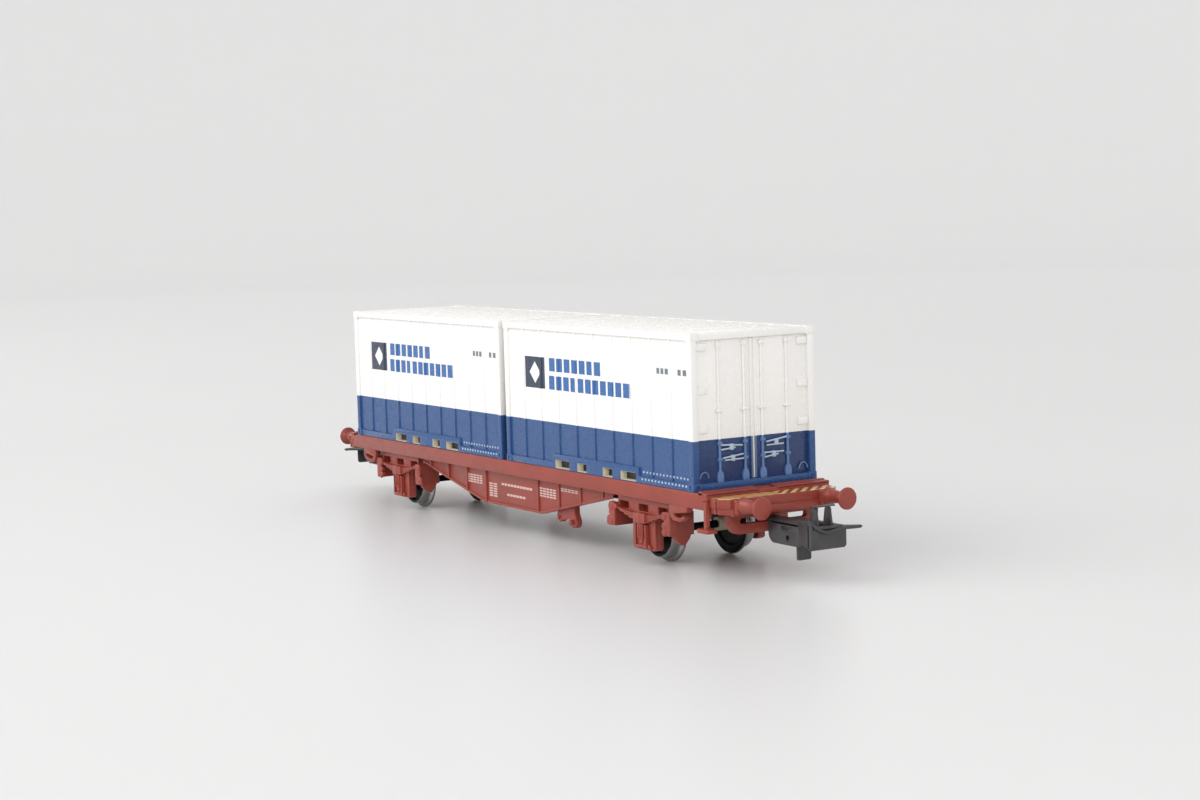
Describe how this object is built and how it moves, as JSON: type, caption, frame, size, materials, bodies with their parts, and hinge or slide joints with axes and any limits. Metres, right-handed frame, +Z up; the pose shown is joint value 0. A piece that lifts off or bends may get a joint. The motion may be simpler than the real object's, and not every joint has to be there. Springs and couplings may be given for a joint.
{
  "type": "model flat car",
  "caption": "Model railway two-axle flat car with fish-belly sills, swinging couplers, free-turning wheelsets and lift-off containers.",
  "frame": {"origin": "on the surface the wheels stand on, under the middle of the car", "axes": "+X along the car towards the end whose container doors show, +Y across the car, +Z up"},
  "size_m": [0.1858, 0.0288, 0.045],
  "materials": {
    "red_brown_plastic": "satin moulded",
    "container_white": "satin painted in two bands",
    "container_floor": "matt",
    "ballast_steel": "blackened",
    "blackened_steel": "blackened",
    "wheel_steel": "blackened, bright tread",
    "bright_steel": "turned",
    "beige_plastic": "matt"
  },
  "bodies": {
    "chassis": {"chassis_frame": "red_brown_plastic", "ballast_plate": "ballast_steel", "front_headstock": "red_brown_plastic", "front_shunter_step": "red_brown_plastic", "front_changeover_bracket": "red_brown_plastic", "front_coupler_pivot_pin": "bright_steel", "front_centring_spring": "bright_steel", "front_left_buffer": "red_brown_plastic", "front_left_axle_guard": "red_brown_plastic", "front_left_leaf_spring": "red_brown_plastic", "front_left_axle_box": "red_brown_plastic", "front_left_outer_brake_block": "red_brown_plastic", "front_left_inner_brake_block": "red_brown_plastic", "front_right_buffer": "red_brown_plastic", "front_right_axle_guard": "red_brown_plastic", "front_right_leaf_spring": "red_brown_plastic", "front_right_axle_box": "red_brown_plastic", "front_right_outer_brake_block": "red_brown_plastic", "front_right_inner_brake_block": "red_brown_plastic", "rear_headstock": "red_brown_plastic", "rear_shunter_step": "red_brown_plastic", "rear_changeover_bracket": "red_brown_plastic", "rear_coupler_pivot_pin": "bright_steel", "rear_centring_spring": "bright_steel", "rear_left_buffer": "red_brown_plastic", "rear_left_axle_guard": "red_brown_plastic", "rear_left_leaf_spring": "red_brown_plastic", "rear_left_axle_box": "red_brown_plastic", "rear_left_outer_brake_block": "red_brown_plastic", "rear_left_inner_brake_block": "red_brown_plastic", "rear_right_buffer": "red_brown_plastic", "rear_right_axle_guard": "red_brown_plastic", "rear_right_leaf_spring": "red_brown_plastic", "rear_right_axle_box": "red_brown_plastic", "rear_right_outer_brake_block": "red_brown_plastic", "rear_right_inner_brake_block": "red_brown_plastic"},
    "front_wheelset": {"front_axle": "blackened_steel", "front_insulating_bush": "beige_plastic", "front_wheel_left": "wheel_steel", "front_wheel_right": "wheel_steel"},
    "front_coupler": {"front_coupler_head": "blackened_steel", "front_bail_pin": "bright_steel"},
    "front_bail": {"front_coupler_bail": "blackened_steel"},
    "front_container": {"front_container_shell": "container_white", "front_container_floor": "container_floor", "front_container_doors": "container_white"},
    "rear_wheelset": {"rear_axle": "blackened_steel", "rear_insulating_bush": "beige_plastic", "rear_wheel_left": "wheel_steel", "rear_wheel_right": "wheel_steel"},
    "rear_coupler": {"rear_coupler_head": "blackened_steel", "rear_bail_pin": "bright_steel"},
    "rear_bail": {"rear_coupler_bail": "blackened_steel"},
    "rear_container": {"rear_container_shell": "container_white", "rear_container_floor": "container_floor", "rear_container_doors": "container_white"}
  },
  "joints": [
    {"name": "front_axle_spin", "type": "hinge", "parent": "chassis", "child": "front_wheelset", "pos_m": [0.0515, 0, 0.0062], "axis": [0, 1, 0], "continuous": true},
    {"name": "front_coupler_swing", "type": "hinge", "parent": "chassis", "child": "front_coupler", "pos_m": [0.06602, 0, 0.0107], "axis": [0, 0, 1], "range_deg": [-12, 12], "stiffness_Nm_per_rad": 0.0002},
    {"name": "front_bail_lift", "type": "hinge", "parent": "front_coupler", "child": "front_bail", "pos_m": [0.0845, 0, 0.00795], "axis": [0, -1, 0], "range_deg": [0, 18]},
    {"name": "front_container_lift", "type": "slide", "parent": "chassis", "child": "front_container", "axis": [0, 0, 1], "range_m": [0, 0.035]},
    {"name": "rear_axle_spin", "type": "hinge", "parent": "chassis", "child": "rear_wheelset", "pos_m": [-0.0515, 0, 0.0062], "axis": [0, 1, 0], "continuous": true},
    {"name": "rear_coupler_swing", "type": "hinge", "parent": "chassis", "child": "rear_coupler", "pos_m": [-0.06602, 0, 0.0107], "axis": [0, 0, 1], "range_deg": [-12, 12], "stiffness_Nm_per_rad": 0.0002},
    {"name": "rear_bail_lift", "type": "hinge", "parent": "rear_coupler", "child": "rear_bail", "pos_m": [-0.0845, 0, 0.00795], "axis": [0, 1, 0], "range_deg": [0, 18]},
    {"name": "rear_container_lift", "type": "slide", "parent": "chassis", "child": "rear_container", "axis": [0, 0, 1], "range_m": [0, 0.035]}
  ]
}
